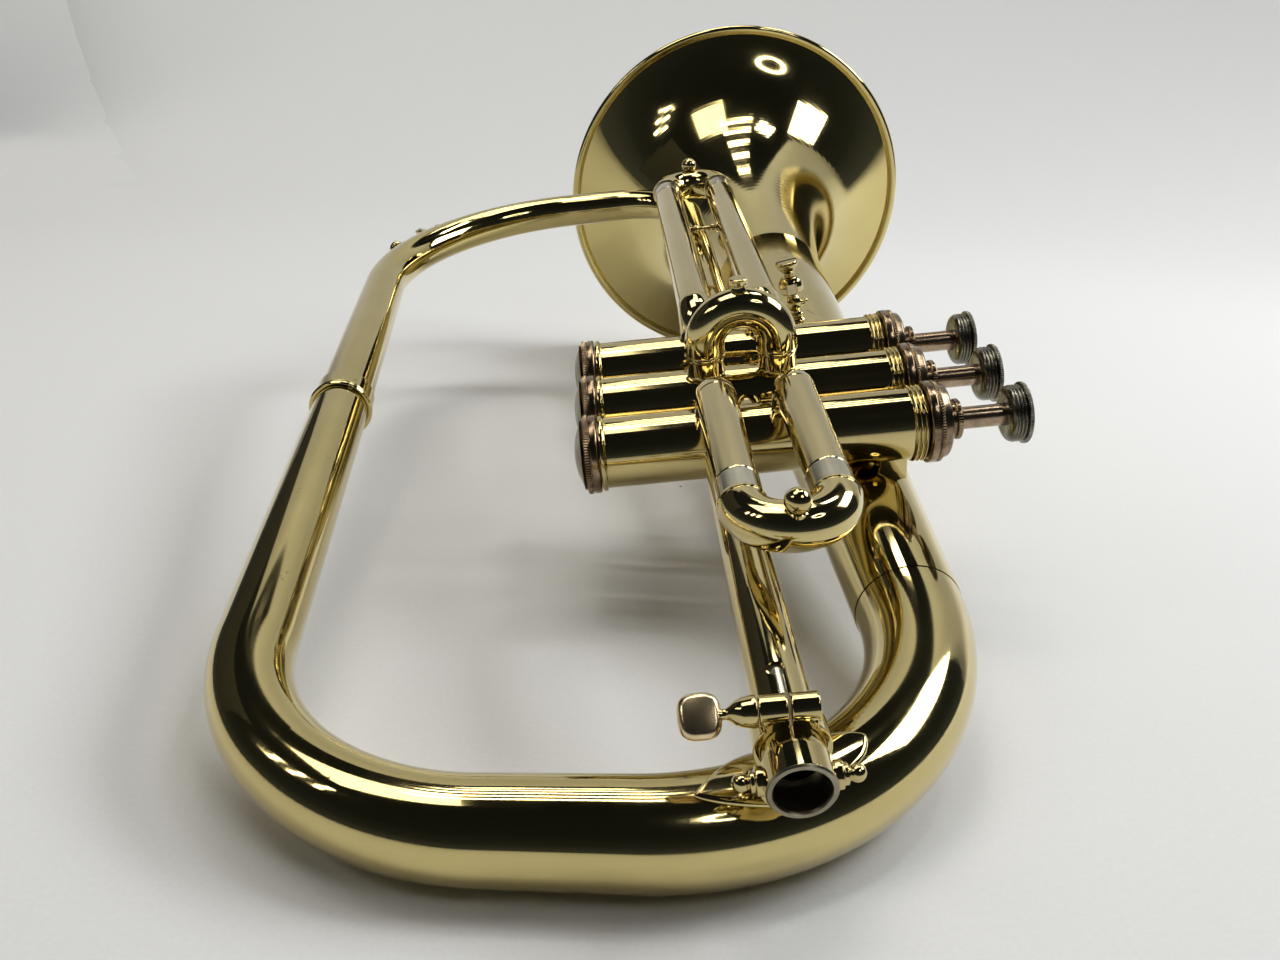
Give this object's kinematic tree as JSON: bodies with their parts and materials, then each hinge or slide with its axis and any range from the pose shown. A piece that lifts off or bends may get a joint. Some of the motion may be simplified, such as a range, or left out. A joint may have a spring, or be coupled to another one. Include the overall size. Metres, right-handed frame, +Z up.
{
  "type": "flugelhorn",
  "caption": "Three-valve flugelhorn in lacquered brass, lying on its side, with a wide conical bell, pull-out tuning slides, a clamped mouthpipe and a water key.",
  "frame": {"origin": "centre of the footprint, on the surface the horn lies on", "axes": "+Z up; +Y towards the bell, along the bell branch seen from above; +X towards the finger buttons"},
  "size_m": [0.2344, 0.4172, 0.1556],
  "materials": {
    "lacquered_brass": "polished and lacquered, lightly worn",
    "tarnished_brass": "brown, worn bare and tarnished",
    "nickel_silver": "worn nickel silver",
    "steel": "drawn wire",
    "felt": "pressed felt",
    "cork": "cork"
  },
  "bodies": {
    "horn": {"bell": "lacquered_brass", "bell_rim_wire": "lacquered_brass", "bottom_cap_1": "tarnished_brass", "bottom_cap_2": "tarnished_brass", "bottom_cap_3": "tarnished_brass", "branch_ferrule": "lacquered_brass", "front_crook": "lacquered_brass", "lyre_socket": "lacquered_brass", "mouthpiece_receiver": "lacquered_brass", "mouthpipe": "lacquered_brass", "mouthpipe_bracket": "lacquered_brass", "mouthpipe_clamp": "lacquered_brass", "rear_bow": "lacquered_brass", "slide_1_sleeve_left": "lacquered_brass", "slide_1_sleeve_right": "lacquered_brass", "slide_2_sleeve_left": "lacquered_brass", "slide_2_sleeve_right": "lacquered_brass", "slide_3_brace": "lacquered_brass", "slide_3_sleeve_left": "lacquered_brass", "slide_3_sleeve_right": "lacquered_brass", "top_cap_1": "tarnished_brass", "top_cap_2": "tarnished_brass", "top_cap_3": "tarnished_brass", "valve_casing_1": "lacquered_brass", "valve_casing_2": "lacquered_brass", "valve_casing_3": "lacquered_brass", "valve_link_1": "lacquered_brass", "valve_link_2": "lacquered_brass", "valve_saddle_1": "lacquered_brass", "valve_saddle_3": "lacquered_brass", "valve_spring_1": "steel", "valve_spring_2": "steel", "valve_spring_3": "steel", "water_key_nipple": "lacquered_brass", "water_key_pin": "steel", "water_key_saddle": "lacquered_brass"},
    "valve_1": {"piston_1": "nickel_silver", "stem_1": "tarnished_brass", "finger_button_1": "nickel_silver", "stem_felt_1": "felt"},
    "valve_2": {"piston_2": "nickel_silver", "stem_2": "tarnished_brass", "finger_button_2": "nickel_silver", "stem_felt_2": "felt"},
    "valve_3": {"piston_3": "nickel_silver", "stem_3": "tarnished_brass", "finger_button_3": "nickel_silver", "stem_felt_3": "felt"},
    "slide_1": {"slide_1_bow": "lacquered_brass", "slide_1_pull": "lacquered_brass"},
    "slide_2": {"slide_2_bow": "lacquered_brass", "slide_2_pull": "lacquered_brass"},
    "slide_3": {"slide_3_bow": "lacquered_brass", "slide_3_pull": "lacquered_brass"},
    "clamp_screw": {"clamp_wing_screw": "lacquered_brass"},
    "lyre_screw": {"lyre_thumb_screw": "lacquered_brass"},
    "water_key": {"water_key_lever": "lacquered_brass", "water_key_cork": "cork"}
  },
  "joints": [
    {"name": "valve_1_press", "type": "slide", "parent": "horn", "child": "valve_1", "axis": [-0.9869, 0.0275, -0.1593], "range_m": [0, 0.0095], "stiffness_N_per_m": 120, "springref_m": -0.008, "deforming": ["valve_spring_1"]},
    {"name": "valve_2_press", "type": "slide", "parent": "horn", "child": "valve_2", "axis": [-0.9869, 0.0275, -0.1593], "range_m": [0, 0.0095], "stiffness_N_per_m": 120, "springref_m": -0.008, "deforming": ["valve_spring_2"]},
    {"name": "valve_3_press", "type": "slide", "parent": "horn", "child": "valve_3", "axis": [-0.9869, 0.0275, -0.1593], "range_m": [0, 0.0095], "stiffness_N_per_m": 120, "springref_m": -0.008, "deforming": ["valve_spring_3"]},
    {"name": "slide_1_pull", "type": "slide", "parent": "horn", "child": "slide_1", "axis": [0, -0.9855, -0.1699], "range_m": [0, 0.025]},
    {"name": "slide_2_pull", "type": "slide", "parent": "horn", "child": "slide_2", "axis": [-0.1616, -0.1676, 0.9725], "range_m": [0, 0.003]},
    {"name": "slide_3_pull", "type": "slide", "parent": "horn", "child": "slide_3", "axis": [0, 0.9855, 0.1699], "range_m": [0, 0.03]},
    {"name": "clamp_screw_turn", "type": "hinge", "parent": "horn", "child": "clamp_screw", "pos_m": [-0.00367, -0.19706, 0.03635], "axis": [0.9869, -0.0275, 0.1593], "range_deg": [-180, 180]},
    {"name": "lyre_screw_turn", "type": "hinge", "parent": "horn", "child": "lyre_screw", "pos_m": [0.02754, -0.00604, 0.07609], "axis": [-0.314, -0.1613, 0.9356], "continuous": true},
    {"name": "water_key_open", "type": "hinge", "parent": "horn", "child": "water_key", "pos_m": [-0.10299, 0.11124, 0.06301], "axis": [-0.1616, -0.1676, 0.9725], "range_deg": [0, 18], "stiffness_Nm_per_rad": 0.02, "springref_deg": -28.65}
  ]
}
